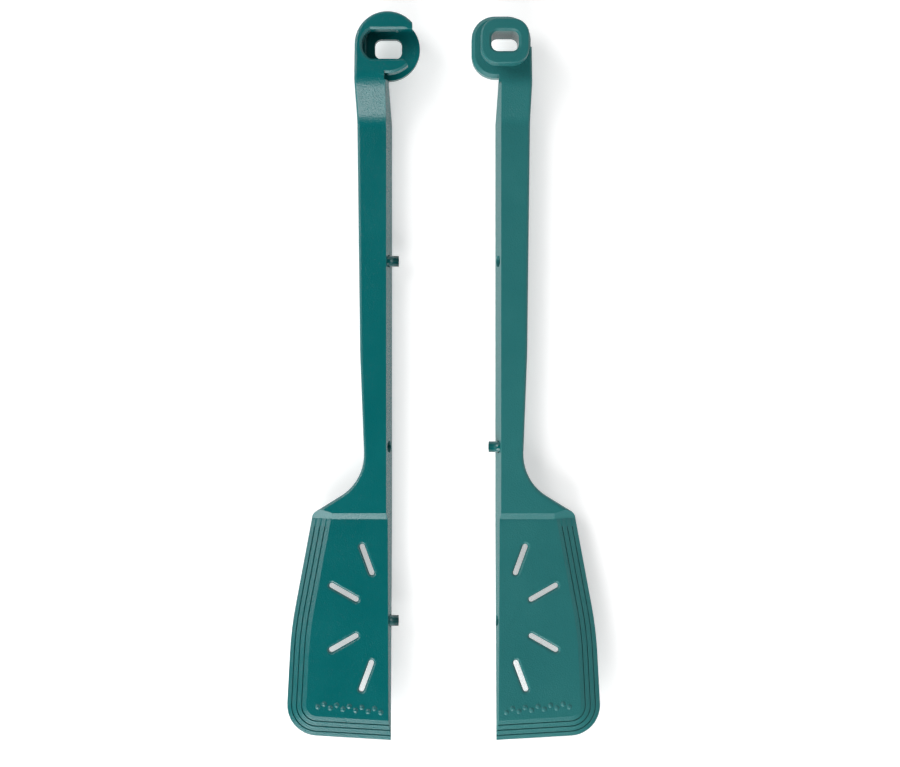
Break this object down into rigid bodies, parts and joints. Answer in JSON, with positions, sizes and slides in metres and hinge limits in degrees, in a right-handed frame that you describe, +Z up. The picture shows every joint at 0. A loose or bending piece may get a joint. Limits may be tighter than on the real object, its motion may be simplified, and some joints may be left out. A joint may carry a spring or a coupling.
{
  "type": "two-part spatula tongs",
  "caption": "Slotted spatula halves with long handles; the foot and button of one head slide into the jaws of the other, and dowel pins line up the straight edges.",
  "frame": {"origin": "middle of the box round both hands where they lie side by side, at the level they rest on", "axes": "+Y along the hands from the blades to the heads, +X from the left hand to the right hand, +Z up"},
  "size_m": [0.1324, 0.3068, 0.0286],
  "materials": {
    "left_plastic": "fine matte moulded",
    "right_plastic": "fine matte moulded",
    "pin_plastic": "smooth moulded"
  },
  "bodies": {
    "left_half": {"left_hand": "left_plastic", "upper_pin": "pin_plastic", "lower_pin": "pin_plastic"},
    "right_half": {"right_hand": "right_plastic", "middle_pin": "pin_plastic"}
  },
  "joints": [
    {"name": "joining_slide", "type": "slide", "parent": "left_half", "child": "right_half", "axis": [-1, 0, 0], "range_m": [0, 0.0445]}
  ]
}
